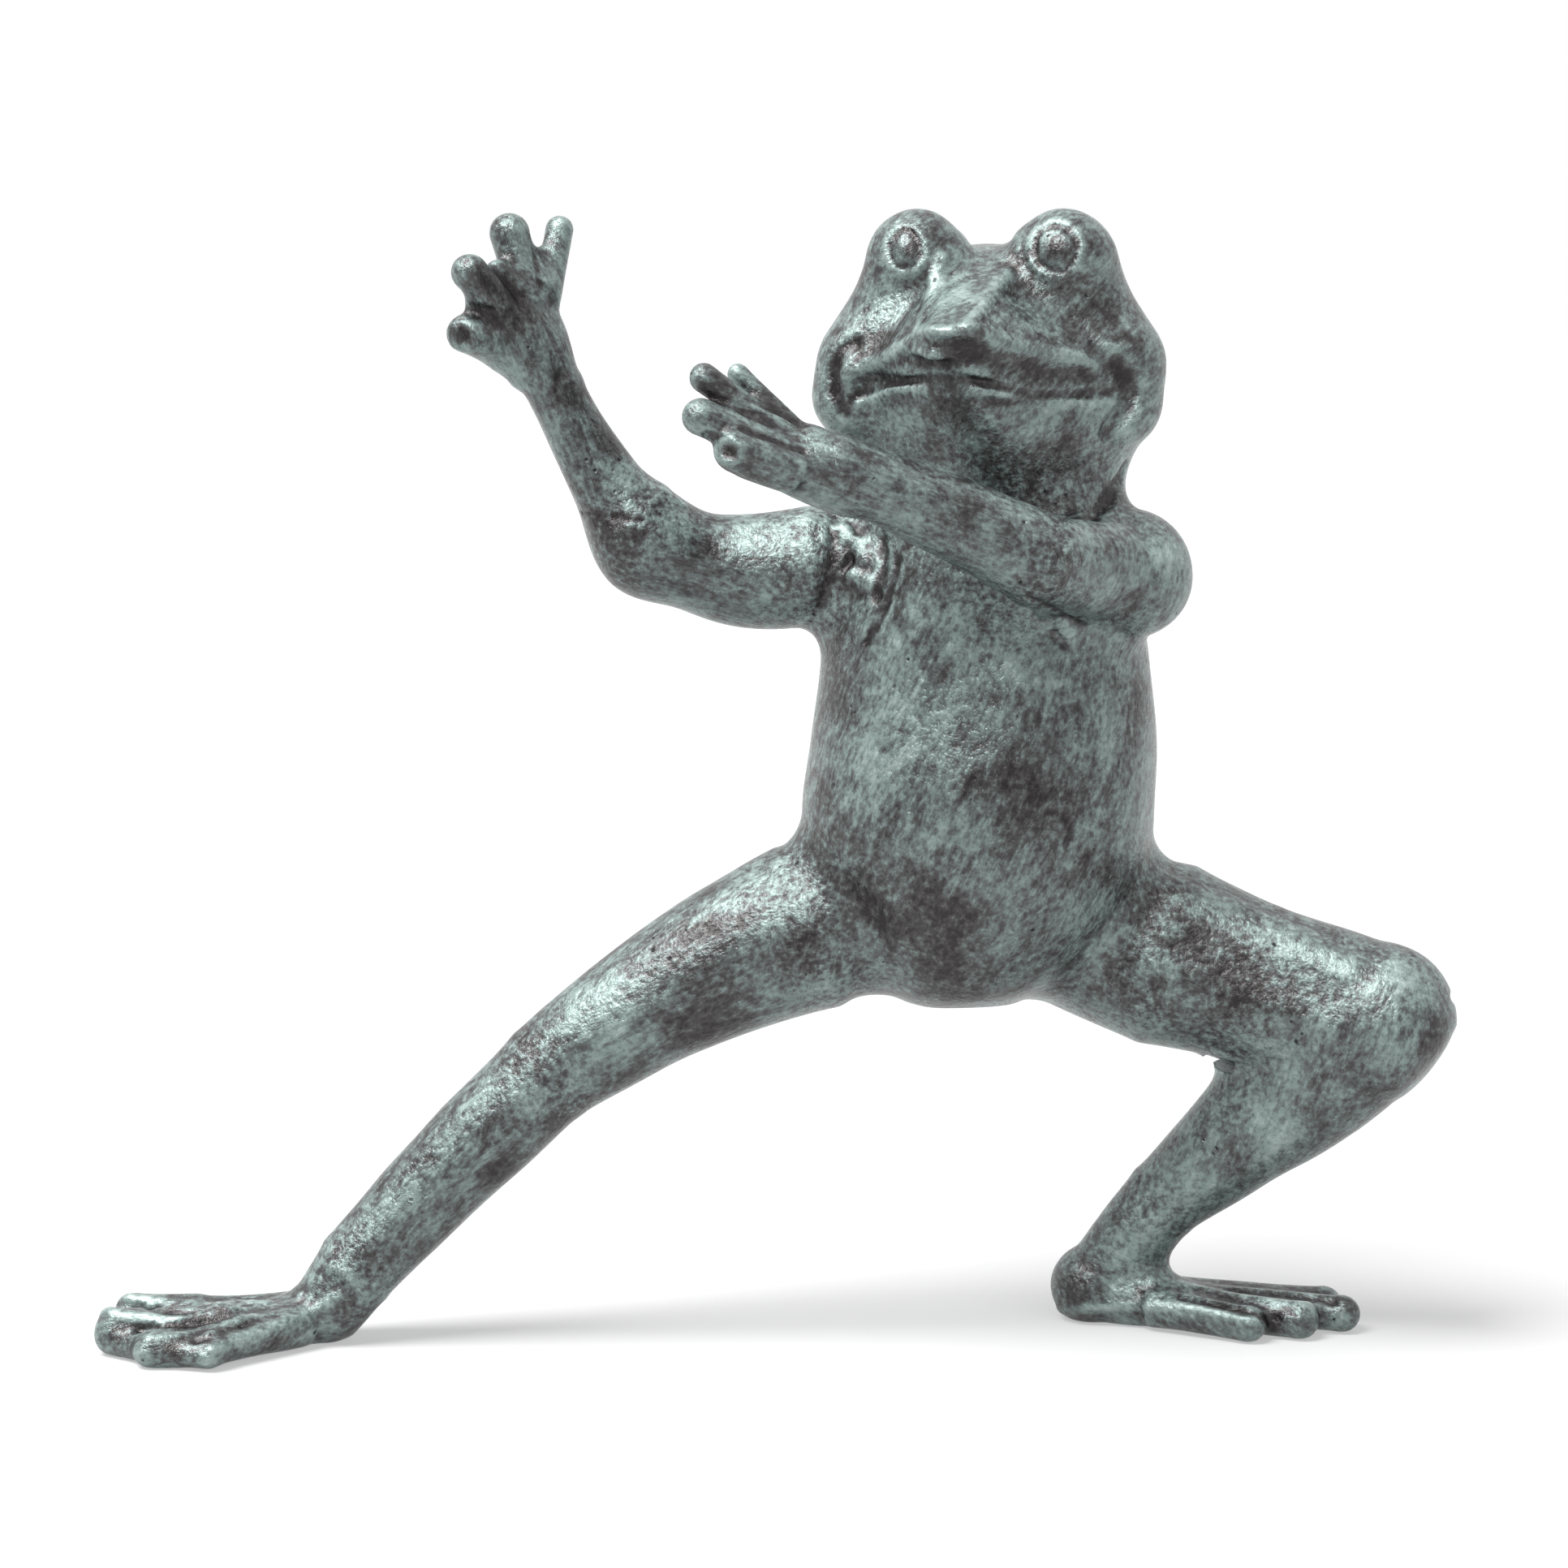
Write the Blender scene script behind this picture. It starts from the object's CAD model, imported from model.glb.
"""Looks of the frog figurine: one skin, sculpted over its castings and welds and parted again at the seams.

Right and left are the frog's own. Sculpting is done in millimetres, and the finished meshes are in metres.
"""
from itertools import product

import bmesh
import bpy
import numpy as np
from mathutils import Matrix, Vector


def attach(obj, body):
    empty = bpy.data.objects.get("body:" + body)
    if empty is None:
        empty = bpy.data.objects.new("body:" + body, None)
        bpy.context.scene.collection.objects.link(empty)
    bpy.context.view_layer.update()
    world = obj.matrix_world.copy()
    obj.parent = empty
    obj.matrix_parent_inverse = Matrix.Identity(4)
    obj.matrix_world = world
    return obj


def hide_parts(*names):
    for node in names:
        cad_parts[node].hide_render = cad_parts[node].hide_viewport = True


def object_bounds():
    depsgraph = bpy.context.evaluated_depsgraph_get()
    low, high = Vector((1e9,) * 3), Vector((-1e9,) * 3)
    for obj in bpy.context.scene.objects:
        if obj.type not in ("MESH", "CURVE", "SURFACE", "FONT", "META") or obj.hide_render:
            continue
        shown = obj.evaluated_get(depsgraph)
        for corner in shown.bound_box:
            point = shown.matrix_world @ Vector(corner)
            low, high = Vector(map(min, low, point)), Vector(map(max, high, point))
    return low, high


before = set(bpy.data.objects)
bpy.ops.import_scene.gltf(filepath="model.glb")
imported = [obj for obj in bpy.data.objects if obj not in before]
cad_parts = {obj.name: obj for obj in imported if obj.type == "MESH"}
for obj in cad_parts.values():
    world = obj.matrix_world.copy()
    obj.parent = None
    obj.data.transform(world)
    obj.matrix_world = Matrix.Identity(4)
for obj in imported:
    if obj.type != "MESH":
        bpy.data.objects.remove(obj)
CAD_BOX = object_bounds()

import openvdb as vdb
from mathutils import Vector
from mathutils.kdtree import KDTree

METRES = 0.001

# Camera, as the photograph was taken
PHOTO_SIZE = 1932
SENSOR = 36.0
LENS = 131.28
CAMERA_PLACE = np.array((2.45, -1749.56, 457.18))
CAMERA_TARGET = np.array((2.45, 28.29, 175.6))
CAMERA_CLIP = (0.01, 100)

# Sculpting grid: spacing, and the depth of the distances kept on each side of the skin, in grid steps
VOXEL = 0.9
THIN_BAND = 3.0
BAND = 12.0

# Points outside the grid are held this many steps before its end
GRID_END = 1.001

# Rays stepped from the camera to the skin: number of steps, and share of the free distance that each takes
RAY_STEPS = 60
RAY_SHARE = 0.85

# Points between two given points of a stroke, and points round an ellipse
CURVE_POINTS = 6
OVAL_POINTS = 25

# Least length that anything is divided by
TINY = 1e-9

# How far inside the box of the castings the skin stays
BOX_INSET = 0.1

# Seams: half the width of a weld strip, how deep its ring is, and the skin searched round a seam
WELD_HALF_WIDTH = 1.7
WELD_RING_DEPTH = 4.0
SEAM_REACH = 5.0
SEAM_MARGIN = 12.0
SEAM_INNER_SHARE = 0.5
CUT_TOLERANCE = 0.02

# Smoothing over a seam: its radius as a share of the ring's, and how far it smooths, in grid steps
SEAM_SOFT_SHARE = 1.6
SEAM_SOFT_REACH = 3

# Passes that fit a circle to a weld ring, relax the skin, and draw it back onto the field
RING_PASSES = 3
RELAX_PASSES = 2
DRAW_PASSES = 2

# Naming a parted piece: every so many points of the castings, votes asked, and slack on a weld's width
NAMING_STRIDE = 40
NAMING_VOTES = 80
WELD_SLACK = 1.1

CASTINGS = (
    "torso", "head", "right_upper_arm", "right_forearm", "left_arm", "right_thigh",
    "right_shin", "right_foot", "left_thigh", "left_shin", "left_foot",
)
WELDS = (
    "neck_weld", "right_shoulder_weld", "right_elbow_weld", "left_arm_weld", "right_hip_weld",
    "right_knee_weld", "right_ankle_weld", "left_hip_weld", "left_knee_weld", "left_ankle_weld",
)

# Fillets where castings meet: place, reach of the brush, and how far creases are filled, in grid steps
FILLETS = (
    ((67.9, 28.3, 267), 66, 5),
    ((10, 30.3, 243), 48, 7),
    ((108.6, 9.3, 244.5), 48, 6),
    ((17, -49.7, 283), 26, 4),
    ((-37.8, 25.3, 249.5), 36, 6),
    ((-69.8, 20.3, 300), 26, 4),
    ((9.6, 22.3, 131), 62, 9),
    ((123.6, 28.3, 122.5), 62, 9),
    ((-71.8, 16.3, 85), 44, 6),
    ((193, 13.3, 104), 42, 5),
    ((-132.8, 13.3, 22.5), 40, 6),
    ((127, 36.3, 34), 40, 6),
    ((107, 20, 330), 30, 8),
    ((27, 18, 326), 26, 6),
    ((20, 22, 98), 34, 9),
    ((82, 26, 97), 34, 9),
    ((-182, 6, 6), 46, 5),
    ((150, 25, 6), 46, 5),
)

# Slots kept open beside a seam: weld, reach along the limb on both sides, and distance beyond the ring
SLOTS = (
    ("left_arm_weld", (-26.0, 2.8), (2.6, 5.6)),
    ("left_knee_weld", (-8.0, 2.8), (2.9, 5.9)),
)

# How far beyond its ring a seam is cut, where that is not the usual distance
SEAM_MARGINS = {"neck_weld": 14.0, "left_arm_weld": 4.2, "left_knee_weld": 4.5}

# The neck seam leans a little, to clear the top of the left shoulder: direction, and how far it is raised
NECK_SEAM_NORMAL = np.array((-0.034, 0.026, 1.0))
NECK_SEAM_RAISE = np.array((0.0, 0.0, 0.7))

# Flat planes of the snout and jaw: the box they are cut in, a point, a normal, and how soft their edges are
HEAD_BOX = ((-4, -42, 292), (140, 75, 366))
JAW_BOX = ((-4, -42, 301), (140, 60, 326))
CHIN_BOX = ((-4, -42, 287), (140, 60, 301))
HEAD_PLANES = (
    (HEAD_BOX, (64.6, 14.3, 344.0), (-0.15, -0.37, 0.917), 2),
    (HEAD_BOX, (48.6, -1.4, 339.5), (-0.70, -0.232, 0.674), 2),
    (HEAD_BOX, (69.5, -2.0, 335.2), (0.474, -0.473, 0.741), 2),
    (JAW_BOX, (57.5, -32.5, 315), (0.592, -0.806, 0.0), 6),
    (JAW_BOX, (43.0, -31.0, 315), (-0.815, -0.58, 0.0), 6),
    (CHIN_BOX, (57.5, -32.5, 301), (0.592, -0.806, 0.42), 6),
    (CHIN_BOX, (43.0, -31.0, 301), (-0.815, -0.58, 0.42), 6),
)

# Clay added to the head: a line of points, its radii, and how softly it blends in
HEAD_CLAY = (
    (((43.6, 15.5, 343.0),), (13.8,), 11),
    (((88.3, 15.5, 342.9),), (14.2,), 11),
    (((41.0, 20, 336), (30.0, 19, 312)), (11.5, 13.5), 12),
    (((91.5, 20, 336), (102.0, 19, 312)), (12.5, 14.0), 12),
    (((25.0, 14, 309), (23.6, 14, 299)), (11.5, 12.5), 6),
    (((106.0, 15, 309), (105.6, 15, 297)), (12.0, 12.8), 6),
)

# Clay added to the limbs, as pixels of the photograph with a depth: line, radii and blend
LIMB_CLAY = (
    (((795, 668, 25.3),), (15.2,), 10),
    (((640, 400, 18), (588, 378, 6)), (4.5, 3.0), 5),
    (((640, 370, 16), (613, 333, 11)), (4.5, 3.5), 5),
    (((665, 350, 20), (660, 318, 25)), (4.0, 3.0), 5),
    (((568, 410, 4), (618, 424, 14)), (4.6, 8.5), 6),
    (((925, 560, -60), (985, 585, -50), (1040, 600, -46)), (6.5, 7.5, 8.0), 6),
)

# Clay added to the right foot, as pixels of the photograph with a height: line, radii and blend
TOE_CLAY = (
    (((162, 1612, 8.7), (240, 1612, 9.5)), (4.6, 4.6), 4),
    (((142, 1632, 9.6), (200, 1632, 10.0), (280, 1624, 12.0)), (5.2, 5.0, 5.0), 4),
    (((184, 1664, 5.4), (228, 1662, 5.4)), (5.2, 5.2), 3),
    (((152, 1655, 4.6), (200, 1666, 4.6), (256, 1672, 4.4)), (4.4, 4.4, 4.2), 3),
)

# Straight edges trimmed on the limbs: box, two pixels of the edge, side that is cut away, and blend
TRIMS = (
    (((170, -20, 50), (216, 60, 100)), ((1782, 1297), (1744, 1343)), (1, 0, -1), 6),
    (((-110, -10, 236), (-40, 50, 300)), ((690, 580), (650, 495)), (-1, 0, 0), 5),
)

# The sawn-off end of the left thumb: pixel, direction it faces, reach of the saw both ways and its blend
THUMB_END = (899, 556)
THUMB_END_NORMAL = (-0.74, -0.64, 0.18)
THUMB_END_REACH = (np.array((7.0, 7.0, 8.0)), np.array((7.0, 7.0, 4.0)))
THUMB_END_BLEND = 1.0

# Its rim's half widths in pixels, and radius and height of the strokes that make the rim and the hollow
THUMB_RIM_HALF = (16, 16)
THUMB_RIM = (1.6, 0.7)
THUMB_HOLLOW = (3.4, -1.8)

# Strokes on the limbs and body: pixels of the photograph, radius and height
BODY_STROKES = (
    # right hand
    (((585, 380), (625, 388)), 2.5, -1.0),
    (((612, 330), (640, 365)), 2.5, -1.2),
    (((659, 315), (668, 355)), 2.0, -1.0),
    # left hand
    (((915, 530), (950, 541), (990, 556)), 2.0, -0.9),
    (((908, 482), (945, 502), (990, 524)), 2.0, -1.0),
    # right foot, valleys and then ridges
    (((145, 1605), (227, 1619), (309, 1609)), 2.5, -1.0),
    (((172, 1638), (246, 1628), (325, 1611)), 2.5, -1.2),
    (((242, 1652), (278, 1640), (340, 1619)), 2.5, -1.0),
    (((160, 1598), (230, 1607), (310, 1604)), 3.0, 0.8),
    (((129, 1616), (196, 1626), (270, 1621), (325, 1606)), 3.5, 1.2),
    (((184, 1650), (246, 1641), (309, 1621)), 3.0, 0.9),
    (((262, 1662), (300, 1652), (364, 1627), (420, 1596)), 3.0, 0.8),
    # left foot, valleys and then ridges
    (((1454, 1598), (1518, 1613), (1574, 1625)), 2.5, -1.1),
    (((1518, 1590), (1597, 1597), (1643, 1604)), 2.5, -1.1),
    (((1306, 1614), (1445, 1609), (1545, 1628)), 3.0, 0.8),
    (((1458, 1583), (1546, 1600), (1624, 1609)), 3.0, 0.8),
    # ridge and hollow along the left thigh
    (((1440, 1092), (1550, 1136), (1660, 1188)), 9.0, 1.2),
    (((1450, 1160), (1550, 1198), (1640, 1232)), 10.0, -1.3),
    # rough welds at the right shoulder and the left armpit
    (((1036, 650), (1044, 662)), 3.6, 1.8),
    (((1060, 672), (1064, 690)), 4.2, 2.0),
    (((1052, 708), (1070, 718)), 4.0, 2.2),
    (((1048, 690), (1042, 700)), 2.4, -1.4),
    (((1086, 664), (1088, 700), (1080, 735)), 3.4, -1.6),
    (((1106, 690), (1092, 740), (1068, 790)), 2.6, -1.2),
    (((1030, 640), (1024, 690), (1016, 745)), 3.0, -0.9),
    (((1282, 752), (1292, 768)), 3.0, 1.4),
    (((1304, 764), (1318, 780)), 3.2, 1.5),
    (((1270, 738), (1300, 752), (1336, 772)), 1.8, -1.2),
    (((1296, 782), (1312, 794)), 2.2, -1.0),
    # crevice between throat and shoulder
    (((1386, 575), (1372, 604), (1345, 640)), 3.4, -1.6),
    # seams, patches and pits
    (((716, 632), (750, 636), (792, 642)), 1.6, -0.6),
    (((820, 606), (842, 622)), 2.2, 0.7),
    (((404, 1560), (426, 1572), (448, 1598)), 2.6, 0.8),
    (((592, 1448), (616, 1436), (638, 1412)), 4.5, -0.7),
    (((1500, 1296), (1514, 1302)), 2.4, 0.9),
    (((1788, 1226), (1796, 1236)), 2.6, -1.2),
    (((1290, 1000), (1308, 1003), (1320, 1020), (1314, 1040)), 1.8, -0.8),
    (((920, 1068), (922, 1072)), 1.7, -1.4),
    (((1181, 403), (1183, 404)), 1.4, -0.9),
    (((1231, 372), (1233, 373)), 1.4, -0.9),
)

# Waves of a hand-modelled surface: grid steps between them, their height in grid steps, and the draw's seed
WAVE_STEPS = 14
WAVE_HEIGHT = 1.1
WAVE_SEED = 3

# Strokes of the modelling tool on the head: pixels of the photograph, radius and height
HEAD_STROKES = (
    (((1162, 318), (1150, 350), (1140, 380), (1131, 404)), 3.4, 0.7),
    (((1240, 335), (1222, 362), (1205, 385), (1192, 400)), 3.4, 0.7),
    (((1131, 405), (1150, 409), (1172, 407), (1192, 401)), 3.5, 0.9),
    (((1118, 352), (1105, 385), (1085, 415)), 9, -1.3),
    (((1262, 372), (1290, 395), (1325, 412)), 10, -1.3),
    (((1200, 406), (1245, 424), (1292, 436), (1340, 440), (1370, 434)), 5, 1.1),
    (((1222, 444), (1275, 460), (1335, 464)), 6, -1.2),
    (((1131, 411), (1105, 430), (1072, 450), (1046, 459)), 4, 1.0),
    (((1150, 424), (1175, 430), (1205, 434)), 6, -2.0),
    (((1066, 470), (1100, 457), (1140, 450)), 5, -0.9),
    (
        ((1047, 492), (1072, 482), (1103, 472), (1146, 466),
         (1186, 466), (1225, 475), (1272, 485), (1345, 484)),
        2, -1.3,
    ),
    (((1060, 496), (1103, 481), (1146, 474), (1186, 475), (1225, 484), (1272, 493), (1330, 493)), 2.6, 0.6),
    (((1352, 434), (1376, 450), (1391, 472), (1388, 500), (1368, 530)), 5, -2.4),
    (((1052, 424), (1036, 434), (1026, 458), (1028, 485), (1040, 505)), 4.2, -1.6),
    (((1044, 440), (1042, 470)), 5, 0.8),
)

# Eyes: middle, half widths of the rim and of the groove inside it, in pixels, and radius of the domed pupil
EYES = (
    ((1115, 307), (25, 29), (19, 23), 4.6),
    ((1301, 306), (33, 35), (26, 28), 6.0),
)

# Radius and height of the strokes that make the rim and the groove, and height of the pupil
EYE_RIM = (2.2, 0.45)
EYE_GROOVE = (1.7, -0.8)
PUPIL_HEIGHT = 0.5

# Ridges: reach of the fine and the wide blur, share of the wide one taken off the fine one, and the most
# that a ridge or hollow counts
RIDGE_FINE = 2
RIDGE_WIDE = 6
RIDGE_SHARE = 1 / 7
RIDGE_LIMIT = 0.5

# Brush marks: how far from a seam they are in full, and the share of that which stays bare
BRUSH_FADE = 18.0
BRUSH_BARE = 0.15

# Where the brush marks run to on hands and feet, which way on torso and head, and a direction across them
RIGHT_HAND = np.array((-75.0, 15.0, 330.0))
LEFT_HAND = np.array((-15.0, -60.0, 295.0))
RIGHT_TOES = np.array((-200.0, 10.0, 5.0))
LEFT_TOES = np.array((180.0, 25.0, 5.0))
TORSO_GRAIN = np.array((0.45, 0.0, 1.0))
HEAD_GRAIN = np.array((-0.6, -0.5, -0.6))
GRAIN_ACROSS = (0.0, 1.0, 0.1)

# Dabs of colour: pixel of the photograph, radius, and how much paler, or darker where negative
DABS = (
    # right hand and arm
    ((620, 380), 22, -0.65), ((590, 330), 10, -0.50), ((560, 410), 10, -0.50), ((640, 300), 10, -0.30),
    ((700, 470), 20, -0.50), ((740, 540), 14, -0.30), ((760, 700), 18, -0.30), ((850, 720), 16, -0.20),
    ((930, 660), 16, 0.35), ((830, 640), 12, 0.40), ((1000, 640), 12, 0.30), ((770, 590), 12, 0.40),
    # left hand and arm
    ((870, 480), 14, -0.30), ((890, 460), 10, -0.30), ((1180, 640), 18, -0.35), ((1080, 620), 16, -0.20),
    ((1300, 700), 18, -0.40), ((1400, 740), 16, -0.40), ((1010, 545), 10, 0.30), ((1100, 580), 10, 0.25),
    ((1440, 680), 12, 0.30),
    # head
    ((1185, 425), 10, -0.70), ((1290, 455), 12, -0.50), ((1340, 470), 10, -0.50), ((1380, 470), 9, -0.50),
    ((1180, 490), 10, -0.40), ((1100, 480), 8, -0.30), ((1301, 306), 6, -1.10), ((1115, 307), 5, -0.90),
    ((1350, 300), 8, -0.30), ((1300, 590), 20, -0.30), ((1370, 610), 10, -0.60), ((1035, 480), 8, -0.40),
    ((1180, 360), 14, 0.50), ((1240, 400), 10, 0.30), ((1290, 395), 12, 0.35), ((1090, 370), 12, 0.30),
    ((1120, 530), 12, 0.25),
    # body
    ((1050, 700), 12, -0.50), ((1200, 950), 22, -0.25), ((1290, 1000), 20, -0.30), ((1150, 1150), 26, -0.50),
    ((1070, 1120), 16, -0.50), ((1250, 1100), 20, -0.30), ((1180, 1210), 20, -0.50), ((1090, 870), 24, 0.35),
    ((1060, 960), 16, 0.40), ((1100, 790), 16, 0.25), ((1150, 760), 12, 0.20), ((1360, 900), 16, 0.25),
    # right leg
    ((850, 1185), 42, -0.25), ((990, 1170), 16, -0.60), ((880, 1260), 22, -0.40), ((760, 1330), 16, -0.40),
    ((700, 1380), 14, -0.35),
    ((620, 1440), 12, -0.50), ((520, 1540), 14, -0.40), ((440, 1620), 12, -0.40), ((150, 1650), 10, -0.40),
    ((960, 1080), 20, 0.20), ((840, 1140), 24, 0.15), ((720, 1240), 18, 0.30), ((560, 1430), 16, 0.25),
    ((480, 1490), 14, 0.25), ((300, 1620), 16, 0.20),
    # left leg
    ((1500, 1112), 14, 0.30), ((1590, 1155), 14, 0.30), ((1560, 1205), 22, -0.35), ((1450, 1140), 16, -0.40),
    ((1500, 1200), 20, -0.50), ((1400, 1230), 20, -0.40), ((1770, 1280), 14, -0.60),
    ((1700, 1330), 12, -0.30), ((1640, 1400), 10, -0.40), ((1330, 1580), 12, -0.50),
    ((1380, 1500), 10, -0.30), ((1560, 1640), 8, -0.40), ((1670, 1610), 8, -0.30), ((1650, 1185), 10, 0.25),
    ((1730, 1210), 12, 0.30), ((1560, 1390), 14, 0.30), ((1480, 1470), 12, 0.25), ((1450, 1600), 14, 0.30),
)

# Patterns of the patina: scale, detail, roughness and distortion
CLOUD = (30, 5, 0.62, 0.7)
PATCH = (110, 6, 0.65, 0.8)
SPECKLE = (480, 4, 0.65)
PIT_PATCH = (70, 3, 0.6)

# Patterns drawn out along the brush marks: scales along and across, then detail, roughness and distortion
MOTTLE_SCALES = (60, 130, 130)
MOTTLE = (6, 0.65, 0.8)
STREAK_SCALES = (230, 640, 640)
STREAK = (4, 0.65)

# Tone: where it starts, and what cloud, mottle, streak, speckle, ridge and dab add to it
TONE_START = -1.13
TONE_SHARES = (0.85, 0.9, 0.75, 0.75, 0.5, 0.42)

# Colour of the patina from dark metal to pale verdigris, by tone
VERDIGRIS = (
    (0.12, (0.035, 0.031, 0.031)),
    (0.34, (0.095, 0.092, 0.092)),
    (0.48, (0.175, 0.210, 0.205)),
    (0.64, (0.300, 0.390, 0.372)),
    (0.90, (0.540, 0.660, 0.630)),
)

# Casting pits: scale, raggedness, soft edge, soft edge of the patches that they lie in, and colour
PIT_SCALE = 260
PIT_RAGGED = 0.5
PIT_EDGE = (0.30, 0.46)
PIT_PATCH_EDGE = (0.56, 0.64)
PIT_COLOUR = (0.012, 0.011, 0.011, 1)

# Relief: what speckle, streak, mottle and pits add to it, its strength, and its depth in metres
RELIEF_SHARES = (0.9, 0.6, 1.0, -1.2)
RELIEF_STRENGTH = 0.5
RELIEF_DEPTH = 0.0012

# Metal share and roughness: tone where each starts and ends, and its value at both
METAL = (0.2, 0.8, 0.60, 0.32)
ROUGHNESS = (0.2, 0.9, 0.22, 0.32)

# Floor: half its width in metres, its colour and glow as seen, and its colour to the light that bounces
FLOOR_HALF = 4.0
FLOOR_COLOUR = (0.62, 0.62, 0.62, 1)
FLOOR_GLOW = 0.42
FLOOR_BOUNCE = (0.22, 0.22, 0.22, 1)

# Room: colour, strength as light, and in reflections: where it turns from front to back, and both strengths
WHITE = (1, 1, 1, 1)
ROOM_LIGHT = 0.24
ROOM_REFLECTED = (-0.6, 0.6, 0.25, 1.0)

# Lamps: name, direction it shines in, strength, width in degrees, and whether only reflections show it
LAMPS = (
    ("key", (0.40, 0.20, -0.89), 3.3, 36, False),
    ("fill", (-0.5, 0.8, -0.3), 0.30, 60, False),
    ("glint", (0.25, 0.62, -0.74), 1.4, 10, True),
)


def read(items, key, width, kind):
    """A row of values for every item of a mesh, or one value for each where the width is one."""
    values = np.empty(len(items) * width, kind)
    items.foreach_get(key, values)
    return values.reshape(-1, width) if width > 1 else values


def node_triangles(name):
    """Points, in millimetres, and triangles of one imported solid."""
    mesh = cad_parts[name].data
    mesh.calc_loop_triangles()
    points = read(mesh.vertices, "co", 3, np.float32)
    return points / METRES, read(mesh.loop_triangles, "vertices", 3, np.int32)


# The field that is sculpted


class Field:
    """Signed distance to the figure on a regular grid, in grid steps, negative inside."""

    def __init__(self):
        points = []
        triangles = []
        count = 0
        for name in CASTINGS + WELDS:
            node_points, node_faces = node_triangles(name)
            points.append(node_points)
            triangles.append(node_faces + count)
            count += len(node_points)
        points = np.concatenate(points) / VOXEL
        triangles = np.concatenate(triangles)
        skin = vdb.FloatGrid.createLevelSetFromPolygons(points, triangles=triangles, halfWidth=THIN_BAND)
        points, quads = skin.convertToQuads(0.0)
        solid = vdb.FloatGrid.createLevelSetFromPolygons(points, quads=quads, halfWidth=BAND)
        low, high = solid.evalActiveVoxelBoundingBox()
        self.low = np.array(low)
        self.values = np.empty(tuple(np.array(high) - self.low + 1), np.float32)
        solid.copyToArray(self.values, ijk=tuple(int(v) for v in low))

    def window(self, low, high):
        """Slices of the grid between two corners, with the grid points' coordinates."""
        first = np.floor(np.asarray(low) / VOXEL).astype(int) - self.low
        last = np.ceil(np.asarray(high) / VOXEL).astype(int) - self.low + 1
        first = np.clip(first, 0, self.values.shape)
        last = np.clip(last, 0, self.values.shape)
        cut = tuple(slice(a, b) for a, b in zip(first, last))
        axes = [(np.arange(a, b) + o) * VOXEL for a, b, o in zip(first, last, self.low)]
        return cut, np.meshgrid(*axes, indexing="ij", sparse=True)

    def sample(self, points, values=None):
        """Field at points, in straight lines between the grid points."""
        values = self.values if values is None else values
        place = np.asarray(points) / VOXEL - self.low
        place = np.clip(place, 0, np.array(values.shape) - GRID_END)
        base = place.astype(int)
        part = place - base
        sides = (1 - part, part)
        total = np.zeros(len(place))
        for i, j, k in product((0, 1), repeat=3):
            weight = sides[i][:, 0] * sides[j][:, 1] * sides[k][:, 2]
            total += weight * values[base[:, 0] + i, base[:, 1] + j, base[:, 2] + k]
        return total

    def slope(self, points):
        """Outward unit direction at points."""
        points = np.asarray(points)
        step = np.eye(3) * VOXEL
        slope = np.stack([self.sample(points + s) - self.sample(points - s) for s in step], axis=1)
        length = np.linalg.norm(slope, axis=1, keepdims=True)
        return slope / np.maximum(length, TINY)


def blurred(values, reach, passes=2):
    """Running mean of a grid over 2 reach + 1 points each way, edges held."""
    width = 2 * reach + 1
    for _ in range(passes):
        for axis in range(3):
            pad = [(reach + 1, reach) if a == axis else (0, 0) for a in range(3)]
            total = np.cumsum(np.pad(values, pad, mode="edge"), axis=axis, dtype=np.float32)
            upper = [slice(None)] * 3
            lower = [slice(None)] * 3
            upper[axis] = slice(width, None)
            lower[axis] = slice(None, -width)
            values = (total[tuple(upper)] - total[tuple(lower)]) / width
    return values


# Camera rays


def camera_frame():
    """Right, up and forward directions of the camera."""
    forward = CAMERA_TARGET - CAMERA_PLACE
    forward = forward / np.linalg.norm(forward)
    right = np.cross(forward, (0.0, 0.0, 1.0))
    right = right / np.linalg.norm(right)
    return right, np.cross(right, forward), forward


def rays_through(pixels):
    """Unit rays from the camera through pixels of the photograph."""
    right, up, forward = camera_frame()
    pixels = np.asarray(pixels, float)
    across = (pixels[:, :1] - PHOTO_SIZE / 2) / PHOTO_SIZE * SENSOR / LENS
    rise = (PHOTO_SIZE / 2 - pixels[:, 1:2]) / PHOTO_SIZE * SENSOR / LENS
    rays = forward + across * right + rise * up
    return rays / np.linalg.norm(rays, axis=1, keepdims=True)


def on_skin(field, pixels):
    """Points of the sculpted skin behind pixels of the photograph."""
    rays = rays_through(pixels)
    start = (field.low[1] * VOXEL - CAMERA_PLACE[1]) / rays[:, 1:2]
    points = CAMERA_PLACE + start * rays
    for _ in range(RAY_STEPS):
        gap = field.sample(points) * VOXEL
        points = points + rays * np.clip(gap, -VOXEL, None)[:, None] * RAY_SHARE
    return points


def at_depth(pixel_depths):
    """Points behind pixels of the photograph, each at its own depth."""
    table = np.asarray(pixel_depths, float)
    rays = rays_through(table[:, :2])
    return CAMERA_PLACE + rays * ((table[:, 2:] - CAMERA_PLACE[1]) / rays[:, 1:2])


def at_height(pixel_heights):
    """Points behind pixels of the photograph, each at its own height."""
    table = np.asarray(pixel_heights, float)
    rays = rays_through(table[:, :2])
    return CAMERA_PLACE + rays * ((table[:, 2:] - CAMERA_PLACE[2]) / rays[:, 2:])


# Sculpting tools


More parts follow.
